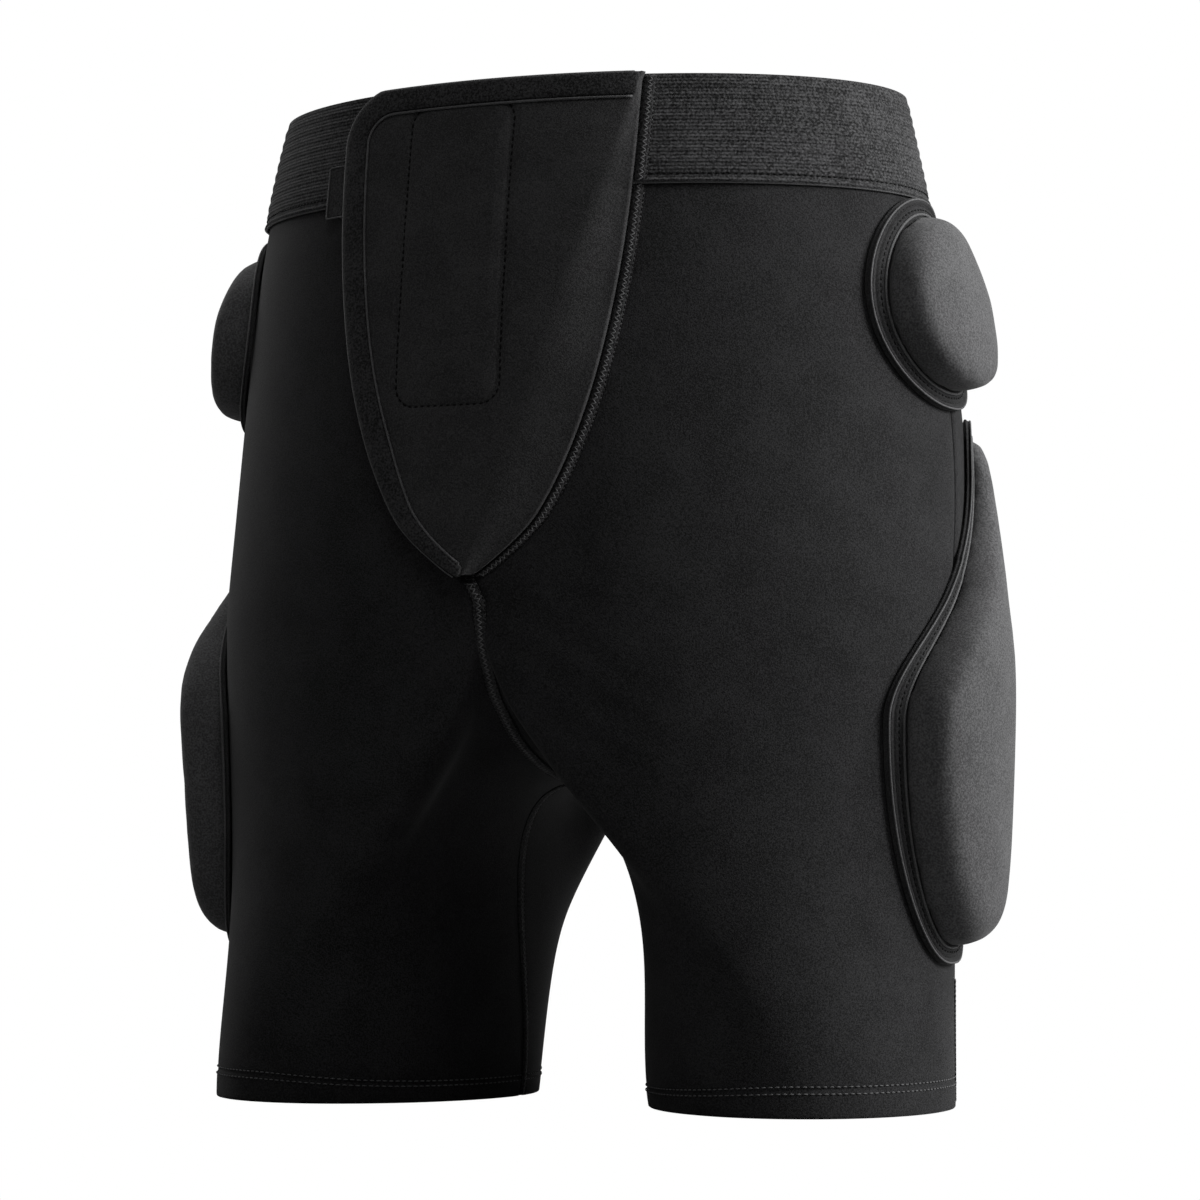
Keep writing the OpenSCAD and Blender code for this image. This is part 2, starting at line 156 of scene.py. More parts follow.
def limb(angle, share, lift):
    """A point of the left leg, from share 0 at the hem to 1 at the fork."""
    u, v = (hem_w + lift) * cosd(angle), (hem_d + lift) * sind(angle)
    low = Vector((hem_x + u * math.cos(turn_out) + v * math.sin(turn_out),
                  -0.005 - v * math.cos(turn_out) + u * math.sin(turn_out), 0))
    inner = cosd(angle) < -1e-6
    k = ease(-cosd(angle)) if inner else 0.0
    up = Vector((0, 0, 1))
    top = oval(angle, fork_z, lift)
    if inner:
        top = Vector((0.0003, (fork_back - fork_front) / 2 - (fork_depth + lift) * sind(angle),
                      fork_z + (crotch_drop + lift) * cosd(angle)))
        lean = math.copysign(1, sind(angle)) * cosd(angle)
        up = Vector((0, fork_depth * lean, crotch_drop * abs(sind(angle)))).normalized()
    start = Vector((-inner_taper * k, 0, fork_z * (1 - 0.33 * k)))
    finish = fork_z * (1 - k) * up + Vector((-inner_reach * k, 0, 0))
    s = share
    return ((2 * s**3 - 3 * s**2 + 1) * low + (s**3 - 2 * s**2 + s) * start
            + (3 * s**2 - 2 * s**3) * top + (s**3 - s**2) * finish)


# %% [markdown]
# Stretched cloth is not perfectly even. Beside the crotch it is drawn into a few shallow lines, and over
# the thighs it undulates by less than a millimetre. The same small push is given to every point near a
# place, whatever piece it belongs to, so that seams and tapes ride the folds instead of cutting them.

# %% Soft folds, and the ways to lay a point on the form
def drape(p):
    """Moves a point of the form by the cloth's shallow folds, and to the frame's place."""
    outward = -1 if p.y < 0 else 1
    beside = bump(abs(p.x) - 0.034, 0.036) * bump(p.z - 0.196, 0.040)
    lines = math.sin(300 * p.z + 170 * abs(p.x) + 35 * p.x)
    waves = math.sin(31 * p.z + 23 * p.x + 1.3) * math.sin(43 * p.x - 17 * p.z)
    away_from_ends = ease((p.z - 0.03) / 0.06) * ease((0.42 - p.z) / 0.08)
    push = 0.0011 * beside * lines + 0.0006 * waves * away_from_ends
    return Vector((p.x, p.y + outward * push + middle_y, p.z))


def trunk(angle, z, lift):
    return drape(oval(angle, z, lift))


def leg(angle, share, lift):
    return drape(limb(angle, share, lift))


def side_angle(y, z):
    """The angle at which the left side of the form has the given y, measured from the form's middle."""
    w = ease(z / fork_z)
    zt = max(z, fork_z)
    front, back = front_depth(zt), back_depth(zt)
    p = (1 - w) * hem_d * math.cos(turn_out) + w * (back + front) / 2
    q = (1 - w) * hem_w * math.sin(turn_out)
    c = -0.005 * (1 - w) + w * (back - front) / 2
    return math.degrees(math.atan2(q, p) + math.asin(max(-1, min(1, (c - y) / math.hypot(p, q)))))


def on_side(y, z, lift):
    angle = side_angle(y, z)
    return trunk(angle, z, lift) if z >= fork_z else leg(angle, z / fork_z, lift)


def on_front(x, z, lift):
    return trunk(math.degrees(math.acos(max(-1, min(1, x / half_width(z))))), z, lift)


def on_back(x, z, lift):
    level = max(z, fork_z)
    p = oval(-math.degrees(math.acos(max(-1, min(1, x / half_width(level))))), level, lift)
    return drape(p + Vector((0, 0, z - level)))


# %% [markdown]
# ## Finishes
# The object is nearly black, so its finishes differ less in colour than in how they catch the light.
# The shell is a fine jersey knit: its grain is a small noise in the bump and a faint fleck in the
# colour. A pattern picture could be wrapped on instead, but noise on Object coordinates needs no
# unwrapping and stays in place when the piece moves. Sheen gives the soft light edge that knit has.

# %% A knit finish
def add_node(tree, kind, inputs=(), **settings):
    """Adds a shader node, with its settings and the values of some of its inputs."""
    node = tree.nodes.new("ShaderNode" + kind)
    for key, value in settings.items():
        setattr(node, key, value)
    for key, value in dict(inputs).items():
        node.inputs[key].default_value = value
    return node


def knit(name, colour, fleck, grain=1500.0, depth=0.35, rough=0.85, sheen=0.02, rib=None):
    """A cloth finish: flecked colour and grain, and ribs of a given pitch where it is elastic."""
    material = bpy.data.materials.new(name)
    material.use_nodes = True
    tree = material.node_tree
    link = tree.links.new
    shader = tree.nodes["Principled BSDF"]
    for key, value in (("Roughness", rough), ("Specular IOR Level", 0.04), ("Sheen Weight", sheen),
                       ("Sheen Roughness", 0.45)):
        shader.inputs[key].default_value = value
    place = add_node(tree, "TexCoord")
    fine = add_node(tree, "TexNoise", {"Scale": grain, "Detail": 2.0})
    broad = add_node(tree, "TexNoise", {"Scale": 45.0, "Detail": 3.0})
    blend = add_node(tree, "Math", {1: 0.25}, operation="MULTIPLY_ADD")
    for noise, place_in_blend in ((fine, 2), (broad, 0)):
        link(place.outputs["Object"], noise.inputs["Vector"])
        link(noise.outputs["Fac"], blend.inputs[place_in_blend])
    ramp = add_node(tree, "ValToRGB")
    for stop, position, share in zip(ramp.color_ramp.elements, (0.50, 0.77), (1 - fleck, 1 + 1.6 * fleck)):
        stop.position = position
        stop.color = (*[c * share for c in colour], 1)
    link(blend.outputs[0], ramp.inputs["Fac"])
    link(ramp.outputs["Color"], shader.inputs["Base Color"])
    relief = fine.outputs["Fac"]
    if rib:
        relief = add_ribs(tree, place, relief, rib)
    raised = add_node(tree, "Bump", {"Strength": depth, "Distance": 0.0004})
    link(relief, raised.inputs["Height"])
    link(raised.outputs["Normal"], shader.inputs["Normal"])
    print("finish", name)
    return material


def add_ribs(tree, place, relief, pitch):
    """Level ribs, one for each pitch of height, added to a finish's relief."""
    parts = add_node(tree, "SeparateXYZ")
    turn = add_node(tree, "Math", {1: 2 * math.pi / pitch}, operation="MULTIPLY")
    wave = add_node(tree, "Math", operation="SINE")
    total = add_node(tree, "Math", {1: 0.55}, operation="MULTIPLY_ADD")
    for source, target in ((place.outputs["Object"], parts.inputs["Vector"]),
                           (parts.outputs["Z"], turn.inputs[0]), (turn.outputs[0], wave.inputs[0]),
                           (wave.outputs[0], total.inputs[0]), (relief, total.inputs[2])):
        tree.links.new(source, target)
    return total.outputs[0]


def plain(name, colour, rough, grain, depth):
    """A simple finish for thread, tape and foam, with a fine grain."""
    return knit(name, colour, fleck=0.25, grain=grain, depth=depth, rough=rough, sheen=0.0)


# %% The finishes of this pair
shell_knit = knit("shell_knit", (0.0050, 0.0050, 0.0052), fleck=0.56)
flap_knit = knit("flap_knit", (0.0105, 0.0105, 0.0107), fleck=0.40)
border_knit = knit("border_knit", (0.0070, 0.0070, 0.0072), fleck=0.45, depth=0.5)
cover_knit = knit("cover_knit", (0.0235, 0.0235, 0.0240), fleck=0.30, grain=1100, depth=0.30, sheen=0.03)
elastic_knit = knit("elastic_knit", (0.0115, 0.0115, 0.0118), fleck=0.70, grain=900, depth=0.9, rib=0.0017)
binding_knit = knit("binding_knit", (0.0078, 0.0078, 0.0080), fleck=0.6, grain=1000, depth=0.6)
grey_thread = plain("grey_thread", (0.034, 0.034, 0.0345), 0.6, 2500, 0.3)
# Near-black thread, darker than the cloth: real thread, and also a painted shade for the stitch holes and the
# grooves the stitches sit in.
black_thread = plain("black_thread", (0.0012, 0.0012, 0.0012), 0.6, 2500, 0.3)
# The cords are real, but their light grey is partly a painted highlight: it stands for the thin light line
# that catches along a rolled edge or bead.
cord_and_painted_highlight = plain("cord_and_painted_highlight", (0.030, 0.030, 0.0305), 0.6, 1800, 0.3)
seam_tape = knit("seam_tape", (0.0085, 0.0085, 0.0087), fleck=0.7, grain=1400, depth=0.8)
hook_tape = plain("hook_tape", (0.006, 0.006, 0.006), 0.5, 700, 1.0)
loop_tape = plain("loop_tape", (0.010, 0.010, 0.010), 0.95, 500, 1.0)
foam = plain("foam", (0.30, 0.30, 0.29), 0.9, 600, 0.6)


# %% [markdown]
# ## Cutting and laying cloth
# A cut of cloth is a grid. Each grid point knows how far across and how far along the cut it is, and a
# small function says where that is on the form. The Solidify modifier then gives the cloth its
# thickness, inwards, so that the face that was laid stays where it was put.

# %% Helpers for laid pieces
def make_object(name, bm, material):
    """Turns a bmesh into a smooth object with one finish."""
    for face in bm.faces:
        face.smooth = True
    mesh = bpy.data.meshes.new(name)
    bm.to_mesh(mesh)
    bm.free()
    made = bpy.data.objects.new(name, mesh)
    bpy.context.scene.collection.objects.link(made)
    made.data.materials.append(material)
    return made


def finish_piece(name, bm, material, slot, body=None, weld=True):
    """Makes a piece with its finish, riding on a body if one is given."""
    if weld:
        bmesh.ops.remove_doubles(bm, verts=bm.verts, dist=1e-6)
    piece = make_object(name, bm, material)
    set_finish(piece, slot)
    if body:
        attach(piece, body)
    return piece


def lay_grid(bm, columns, rows, at):
    """Adds a grid of columns by rows to a bmesh, each point placed by at(column share, row share)."""
    for v in bmesh.ops.create_grid(bm, x_segments=columns, y_segments=rows, size=0.5)["verts"]:
        v.co = at(v.co.x + 0.5, v.co.y + 0.5)


def cloth_area(bm):
    return sum(f.calc_area() for f in bm.faces)


def face_outwards(bm, inner_point):
    """Turns every face of an open sheet so that it looks away from a point inside the form."""
    bm.normal_update()
    if sum(f.normal.dot(f.calc_center_median() - inner_point) * f.calc_area() for f in bm.faces) < 0:
        bmesh.ops.reverse_faces(bm, faces=bm.faces)


def round_off(piece):
    """One level of subdivision, the same in the view and in the render."""
    soft = piece.modifiers.new("smooth", "SUBSURF")
    soft.levels = soft.render_levels = 1
    return piece


def thicken(piece, thickness):
    """Gives a laid cloth its thickness, inwards."""
    wall = piece.modifiers.new("thickness", "SOLIDIFY")
    wall.thickness = thickness
    wall.offset = -1
    return piece


core = Vector((0, 0, 0.36))


def laid_cloth(name, at, columns, rows, thickness, material, slot, body=None, inner_point=core):
    """A cut of cloth laid by at(u, v), with its thickness. Returns it and the area of its face."""
    bm = bmesh.new()
    lay_grid(bm, columns, rows, at)
    face_outwards(bm, inner_point)
    area = cloth_area(bm)
    return thicken(finish_piece(name, bm, material, slot, body), thickness), area


def evaluated_mesh(piece):
    """A new mesh of a piece as its modifiers, or its curve's depth, leave it."""
    return bpy.data.meshes.new_from_object(piece.evaluated_get(bpy.context.evaluated_depsgraph_get()))


def settle(piece):
    """Applies a piece's modifiers, leaving a final mesh."""
    solid = evaluated_mesh(piece)
    piece.modifiers.clear()
    piece.data = solid
    for face in piece.data.polygons:
        face.use_smooth = True
    return piece


def mirrored(right, p):
    return Vector((-p.x, p.y, p.z)) if right else p


# %% [markdown]
# ## The shell
# Four panels make the shell: a front and a back for each side, joined down the outside and inside of
# the leg and along the middle. A single tube would be quicker, but real shorts open at their seams, and
# the front panels also have to end along the curved fly. The rows are closer together at the hem, where
# the cloth is turned up: it is a little fuller there, with a shallow groove under the stitches.

# %% The fly's outline
flap_x, flap_w, flap_corner = -0.006, 0.073, 0.026
seam_gap = 0.0006
hem_h = 0.013


def flap_half(z):
    """Half the flap's width at a height: nothing at the pointed tip, and its full width at the top."""
    share = min(max((z - flap_tip_z) / (outseam - flap_tip_z), 0.0), 1.0)
    point = 1 - 0.42 * max(1 - (z - flap_tip_z) / 0.030, 0.0) ** 2
    return flap_w * (1 - (1 - share) ** 2.5) ** 0.6 * point


def fold_line(z):
    return flap_x + flap_w * (z - flap_tip_z) / (outseam - flap_tip_z)


def root_edge(z):
    return max(flap_x + flap_half(z), fold_line(z) + 0.0012)


def fly_edge(z, right):
    """How far across the front panel reaches: to the middle line below the fly, then to the fly."""
    middle = (-flap_x if right else flap_x) * ease((z - fork_z) / (flap_tip_z - fork_z))
    return middle + flap_half(z) + seam_gap


# %% Shell panels
hem_rows = [0.0, 0.0015, 0.004, 0.008, 0.0105, 0.0118, 0.013, 0.0142, 0.0155, 0.019, 0.025, 0.033]
leg_shares = [z / fork_z for z in hem_rows] + [mix(0.033 / fork_z, 1, (i + 1) / 40) for i in range(40)]
body_levels = ([fork_z, mix(fork_z, flap_tip_z, 0.5)]
               + [mix(flap_tip_z, panel_top, (i / 44) ** 1.4) for i in range(45)])


def hem_lift(z):
    """The turned-up hem stands a little proud, with a groove under its stitches."""
    return 0.0003 * ease((hem_h + 0.001 - z) / 0.002) - 0.00045 * bump(z - hem_h, 0.0011)


def inner_line(share):
    """The angle of the inside leg seam: behind the inner side at the hem, and at the middle above."""
    return 180 + 23 * (1 - ease(share))


def shell_panel(name, right, front, columns=52):
    """One panel: its leg part, and its body part from the side seam to the middle or the fly."""
    sign = 1 if front else -1
    bm = bmesh.new()

    def leg_part(u, v):
        share = leg_shares[round(v * (len(leg_shares) - 1))]
        limit = inner_line(share) if front else 360 - inner_line(share)
        angle = 180 * u if u <= 0.5 else mix(90, limit, 2 * u - 1)
        return leg(sign * min(max(angle, 0.1), limit - 0.1), share, hem_lift(share * fork_z))

    def body_part(u, v):
        z = body_levels[round(v * (len(body_levels) - 1))]
        edge = fly_edge(z, right) if front else seam_gap / 2
        end = math.degrees(math.acos(edge / half_width(z))) if z > fork_z else 90
        return trunk(sign * max(end * u, 0.1), z, 0)

    lay_grid(bm, columns, len(leg_shares) - 1, leg_part)
    lay_grid(bm, columns // 2, len(body_levels) - 1, body_part)
    bmesh.ops.remove_doubles(bm, verts=bm.verts, dist=2e-4)
    if right:
        bmesh.ops.scale(bm, vec=(-1, 1, 1), verts=bm.verts)
    face_outwards(bm, Vector((-0.08 if right else 0.08, 0, 0.2)))
    area = cloth_area(bm)
    piece = finish_piece(name, bm, shell_knit, "shell_cloth", "shorts", weld=False)
    round_off(thicken(piece, cloth_t))
    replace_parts(piece, name)
    print(f"{name}: {area:.4f} m2 of cloth")
    return piece, area


# %% Make the four panels
for side in ("left", "right"):
    for part in ("front", "back"):
        panel_node = f"{side}_{part}_panel"
        panel, cut_area = shell_panel(panel_node, side == "right", part == "front")


# %% [markdown]
# ## Underlap and elastic waistband
# The underlap is the shield of cloth behind the flap. The waistband is one long elastic: it starts at
# the flap's sewn edge, goes round the back and ends under the flap. Its level ribs are too fine to be
# worth modelling one by one, so the finish carries them, but the band's roll at the top and the nip
# where it is sewn to the shell are real shape.

# %% Underlap
def underlap(u, v):
    z = mix(flap_tip_z + 0.001, outseam - 0.002, v**1.4)
    return on_front(flap_x + (flap_half(z) - seam_gap) * (1 - 2 * u), z, 0)


fly_underlap, underlap_area = laid_cloth("fly_underlap", underlap, 40, 56, cloth_t, shell_knit,
                                         "shell_cloth", "shorts")
round_off(fly_underlap)
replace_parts(fly_underlap, "fly_underlap")

# %% Elastic waistband
band_t, gap = 0.002, 0.0005
band_to = math.degrees(math.acos(-0.054 / waist_w)) - 360


def band_from(z):
    """The angle at which the band starts, a little way under the flap's sewn edge."""
    return math.degrees(math.acos((root_edge(z) - 0.004) / half_width(z)))


def band_point(u, v):
    """A point of the band's outer face: rolled in at its top edge and nipped where it is sewn."""
    z = mix(band_z, outseam - 0.0004, v)
    roll = 0.0005 * bump(outseam - z, 0.002)
    nip = 0.0007 * bump(z - band_z - 0.0035, 0.0016)
    ripple = 0.00022 * math.sin(2 * math.pi * z / 0.0052)
    return trunk(mix(band_from(z), band_to, u), z, gap + band_t - roll - nip + ripple)


waistband, band_area = laid_cloth("elastic_waistband", band_point, 220, 64, band_t, elastic_knit,
                                  "elastic", "shorts")
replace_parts(waistband, "elastic_waistband")


# %% [markdown]
# ## The flap
# The flap is one piece of cloth on both sides of the line where it folds, although the CAD has two
# solids there. It is drawn finely enough to show the groove of the box of stitches that holds the hook
# patch behind it, and the slight swell of the patch inside that box. It lies on the patches, so it
# stands a few millimetres off the shell, and comes down to the shell at its sewn edge.

# %% The flap's outline and relief
flap_low = 0.0042
flap_t = 0.0027
box_left, box_right, box_low, box_high, box_round = -0.043, 0.010, 0.326, 0.470, 0.010
box_x, box_z = (box_left + box_right) / 2, (box_low + box_high) / 2
box_half_w, box_half_h = (box_right - box_left) / 2, (box_high - box_low) / 2


def free_edge(z):
    into = min(max(z - (outseam - flap_corner), 0.0), flap_corner)
    return flap_x - flap_half(z) + flap_corner - math.sqrt(flap_corner**2 - into**2)


def box_distance(x, z):
    """How far a point is from the stitched box's line: negative inside it."""
    dx = abs(x - box_x) - box_half_w + box_round
    dz = abs(z - box_z) - box_half_h + box_round
    return math.hypot(max(dx, 0), max(dz, 0)) + min(max(dx, dz), 0) - box_round


def flap_lift(x, z):
    """The height of the flap's outer face above the shell."""
    across = (x - fold_line(z)) / max(root_edge(z) - fold_line(z), 0.001)
    on_band = 0.0016 * ease((z - band_z + 0.004) / 0.006)
    lie = mix(flap_low, gap + on_band, ease(across))
    away = box_distance(x, z)
    stitched = -0.0013 * bump(away, 0.0012) + 0.0007 * ease(-away / 0.008)
    return lie + flap_t + stitched


# %% Cut the flap
def flap_point(u, v):
    z = flap_tip_z + 0.001 + (outseam - flap_tip_z - 0.001) * (v**1.25 if v < 1 else 1)
    x = mix(root_edge(z), free_edge(z), u)
    return on_front(x, z, flap_lift(x, z))


front_flap, flap_area = laid_cloth("front_flap", flap_point, 110, 170, flap_t, flap_knit, "shell_cloth")
settle(front_flap)
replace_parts(front_flap, "front_flap", "flap_root")

# %% [markdown]
# The flap is sewn along one side only, so the part beside the seam stays with the shorts and the rest
# swings open on the real shorts. Here the flap and everything sewn to it only have their placing baked
# into their meshes; nothing sets up a blend or bends them.


def bend_with_flap(piece):
    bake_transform(piece)
    return piece


bend_with_flap(front_flap)
print("flap of", round(flap_area, 4), "m2")

# %% [markdown]
# ## The flap's binding
# A folded knit tape binds the free edge: up from the tip, round the corner and along the top. A round
# tube would look like rope, so a flat section with soft shoulders is swept along the edge, and a thin
# cord lies along its inner side, as on the real one; its light grey is partly a painted highlight along
# that bead. The section is a ring of points at each step.

# %% The path of the free edge
def edge_path(count=150):
    """Points (x, z) from the tip round the corner to the top of the sewn edge, evenly spaced."""
    rough = [(free_edge(z), z) for z in
             [mix(flap_tip_z + 0.0002, outseam - flap_corner, (i / 60) ** 1.8) for i in range(61)]]
    centre = (flap_x - flap_w + flap_corner, outseam - flap_corner)
    rough += [(centre[0] - flap_corner * cosd(a), centre[1] + flap_corner * sind(a))
              for a in range(6, 91, 6)]
    rough += [(mix(centre[0], flap_x + flap_w - 0.001, i / 20), outseam) for i in range(1, 21)]
    return evenly(rough, count)


def running_length(points):
    """How far along a path each of its points is."""
    reach = [0.0]
    for a, b in zip(points, points[1:]):
        reach.append(reach[-1] + math.dist(a, b))
    return reach


def evenly(points, count):
    """Spaces a flat path's points evenly."""
    reach = running_length(points)
    out, k = [], 0
    for i in range(count):
        goal = reach[-1] * i / (count - 1)
        while k < len(points) - 2 and reach[k + 1] < goal:
            k += 1
        t = (goal - reach[k]) / max(reach[k + 1] - reach[k], 1e-9)
        out.append(tuple(mix(a, b, t) for a, b in zip(points[k], points[k + 1])))
    return out


binding_path = edge_path()


def beside_edge(i, inward, lift):
    """A point beside the free edge, inward of it in the flap's own plane."""
    a, b = binding_path[max(i - 1, 0)], binding_path[min(i + 1, len(binding_path) - 1)]
    along = Vector((b[0] - a[0], b[1] - a[1])).normalized()
    x = binding_path[i][0] + inward * along.y
    z = binding_path[i][1] - inward * along.x
    return on_front(min(x, root_edge(z) - 0.0005), min(z, outseam), lift)


# %% Sweep the binding
def ring_loop(bm, points):
    """A circle whose corners are moved to the points of one ring. Returns its edges."""
    circle = bmesh.ops.create_circle(bm, cap_ends=False, segments=len(points), radius=1)["verts"]
    for v, p in zip(circle, points):
        v.co = p
    return list({edge for v in circle for edge in v.link_edges})


def closed_section(bm, rings):
    """Joins closed rings of points into a tube with flat ends, edge loop by edge loop."""
    loops = [ring_loop(bm, ring) for ring in rings]
    for a, b in zip(loops, loops[1:]):
        bmesh.ops.bridge_loops(bm, edges=a + b)
    for end in (loops[0], loops[-1]):
        bmesh.ops.contextual_create(bm, geom=end)
    bmesh.ops.recalc_face_normals(bm, faces=bm.faces)


def taper(i):
    """The binding narrows towards the flap's tip."""
    return mix(0.45, 1.0, ease(i / 34))


# Each point of the section is (inward from the edge, height above the flap's outer face).
outer_face = flap_low + flap_t
binding_section = [(-0.0010, -0.0028), (-0.0018, -0.0012), (-0.0016, 0.0004), (-0.0006, 0.0014),
                   (0.0020, 0.0018), (0.0060, 0.0017), (0.0095, 0.0015), (0.0112, 0.0009),
                   (0.0115, 0.0000), (0.0060, -0.0002), (0.0010, -0.0004), (0.0006, -0.0028)]
bm = bmesh.new()
closed_section(bm, [[beside_edge(i, d * taper(i), outer_face + h) for d, h in binding_section]
                    for i in range(len(binding_path))])
flap_binding = finish_piece("flap_binding", bm, binding_knit, "binding")
bend_with_flap(settle(round_off(flap_binding)))
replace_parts(flap_binding, "flap_binding")


# %% A cord laid along a path
def cord_along(name, points, radius, material, slot, body=None, ring=False):
    """A thin round cord through points, made from a curve with depth and turned into a mesh."""
    curve = bpy.data.curves.new(name, "CURVE")
    curve.dimensions = "3D"
    curve.bevel_depth = radius
    curve.bevel_resolution = 1
    curve.use_fill_caps = not ring
    spline = curve.splines.new("POLY")
    spline.points.add(len(points) - 1)
    for spline_point, p in zip(spline.points, points):
        spline_point.co = (*p, 1)
    spline.use_cyclic_u = ring
    source = bpy.data.objects.new(name + "_path", curve)
    bpy.context.scene.collection.objects.link(source)
    bm = bmesh.new()
    bm.from_mesh(evaluated_mesh(source))
    bpy.data.objects.remove(source)
    bmesh.ops.recalc_face_normals(bm, faces=bm.faces)
    return finish_piece(name, bm, material, slot, body)


cord_steps = range(1, len(binding_path) - 1)
# The bead along the binding's inner side is real; its light grey is partly a painted highlight along it.
inner_cord = [beside_edge(i, 0.0121 * taper(i), outer_face + 0.0006) for i in cord_steps]
bend_with_flap(cord_along("flap_binding_cord", inner_cord, 0.0006, cord_and_painted_highlight, "piping"))
# This light cord just outside the binding's rim is a painted highlight: it stands for the light line along
# the rolled edge.
rim_highlight_cord = [beside_edge(i, -0.0014, outer_face + 0.0002) for i in cord_steps]
bend_with_flap(cord_along("flap_edge_cord", rim_highlight_cord, 0.0004, cord_and_painted_highlight, "piping"))
print("binding and its cords run", len(binding_path), "steps")


# %% [markdown]
# ## Stitches
# Sewing is what makes cloth read as cloth, and each stitch here is a small bead of thread. They could
# be a bump in the finish, but rows that bend round a pad need real beads to keep their spacing. One
# function walks a path, drops a bead each pitch, and turns it along the path, or across it for a zigzag.

# %% Stitch rows
def stitch_row(name, at, steps, pitch, size, material, body=None, zigzag=0.0):
    """Beads of thread along at(t, across, lift), t from 0 to 1. size is (length, width, height)."""
    samples = [at(i / steps, 0, 0) for i in range(steps + 1)]
    reach = running_length(samples)
    count = max(int(reach[-1] / pitch), 1)
    bm = bmesh.new()
    k = 0
    for i in range(count):
        goal = (i + 0.5) * reach[-1] / count
        while reach[k + 1] < goal:
            k += 1
        t = (k + (goal - reach[k]) / (reach[k + 1] - reach[k])) / steps
        here, above = at(t, 0, 0), at(t, 0, 0.001)
        up = (above - here).normalized()
        along = (samples[k + 1] - samples[k]).normalized()
        across = up.cross(along).normalized()
        turn = (1 if i % 2 else -1) * zigzag
        lead = (along * math.cos(turn) + across * math.sin(turn)).normalized()
        width = up.cross(lead)
        place = Matrix.Translation(here) @ Matrix((lead, width, up)).transposed().to_4x4()
        place = place @ Matrix.Diagonal((size[0] / 2, size[1] / 2, size[2] / 2, 1))
        bmesh.ops.create_uvsphere(bm, u_segments=6, v_segments=4, radius=1, matrix=place)
    piece = finish_piece(name, bm, material, "thread", body, weld=False)
    print(f"{name}: {count} stitches")
    return piece


def box_at(t, across, lift):
    """A point on the stitched box, going round it once."""
    c, s = math.cos(2 * math.pi * t), math.sin(2 * math.pi * t)
    grow = min(box_half_w / max(abs(c), 1e-9), box_half_h / max(abs(s), 1e-9))
    x, z = box_x + c * grow, box_z + s * grow
    corner_x = math.copysign(box_half_w - box_round, c)
    corner_z = math.copysign(box_half_h - box_round, s)
    dx, dz = x - box_x - corner_x, z - box_z - corner_z
    if dx * c > 0 and dz * s > 0:
        far = math.hypot(dx, dz)
        x = box_x + corner_x + dx / far * box_round
        z = box_z + corner_z + dz / far * box_round
    return on_front(x, z, flap_lift(x, z) + 0.0002 + lift)


# The box's stitches are near-black: real thread, and painted shade of the holes in its groove.
bend_with_flap(stitch_row("flap_box_stitching", box_at, 800, 0.0034, (0.0026, 0.0013, 0.0009), black_thread))


# %% [markdown]
# ## Seams
# The panels are joined by flatlock seams: a flat tape with zigzag thread over it. Each seam has one
# function that says where it runs and how far across and above the seam a point is. The tape and the
# thread both use it, so that they stay together on the curve of the crotch.

# %% A taped seam
tape_t = 0.0010
zigzag_bead, edge_bead = (0.0034, 0.0007, 0.0006), (0.0018, 0.0007, 0.0006)


def sewn_seam(name, at, steps, width, inner_point=core, right=False, proud=0.0008):
    """A flatlock seam: a tape for the CAD's band, zigzag thread on it, and a row of stitches at each edge."""
    def placed(t, across, lift):
        return mirrored(right, at(t, across, lift))

    def face(u, v):
        shoulder = proud * (1 - abs(2 * u - 1) ** 4)
        return placed(v, (u - 0.5) * width, max(shoulder, 0.0001))

    def on_tape(t, across, lift):
        return placed(t, across, lift + proud)

    strip, _ = laid_cloth(name, face, 8, steps, tape_t, seam_tape, "thread", "shorts", inner_point)
    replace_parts(strip, name)
    stitch_row(name + "_thread", on_tape, steps * 4, 0.0013, zigzag_bead, grey_thread, "shorts", zigzag=1.0)
    for edge, label in ((-0.46, "inner"), (0.46, "outer")):
        def beside(t, across, lift, edge=edge):
            return placed(t, across + edge * width, lift + 0.0003)
        # The edge rows are near-black: real thread, and painted shade of the stitch holes.
        stitch_row(f"{name}_{label}_row", beside, steps * 4, 0.0022, edge_bead, black_thread, "shorts")


# %% Where each seam runs
side_seam_low, side_seam_high = 0.003, 0.060
seam_top = 0.334
fork_at, front_at = 0.30, 0.90


def flap_seam_at(t, across, lift):
    z = mix(flap_tip_z + 0.001, band_z - 0.001, t**1.3)
    return on_front(root_edge(z) + 0.0034 + across, z, lift)


def band_end_at(t, across, lift):
    z = mix(band_z + 0.0005, outseam - 0.001, t)
    return on_front(root_edge(z) + 0.0036 + across, z, gap + band_t + lift)


def inseam_at(t, across, lift):
    share = mix(0.005, 0.93, t)
    return leg(inner_line(share) + math.degrees(across / hem_d), share, lift)


def side_seam_at(t, across, lift):
    return on_side(middle_of_side(t) + across, mix(side_seam_low, side_seam_high, t), lift)


def middle_of_side(t):
    """The y at which the side seam lies, on a leg that is turned out."""
    return limb(0, mix(side_seam_low, side_seam_high, t) / fork_z, 0).y


def centre_seam_at(t, across, lift):
    """From the tailbone pad down the back, under the crotch, and up the front to the flap's tip."""
    if t < fork_at:
        return on_back(across, mix(seam_top, fork_z, t / fork_at), lift)
    if t < front_at:
        p = limb(mix(269.9, 90.1, (t - fork_at) / (front_at - fork_at)), 1, 0.0006 + lift)
        return drape(Vector((across, p.y, p.z)))
    z = mix(fork_z, flap_tip_z + 0.001, (t - front_at) / (1 - front_at))
    return on_front(flap_x * (z - fork_z) / (flap_tip_z - fork_z) + across, z, 0.0006 + lift)


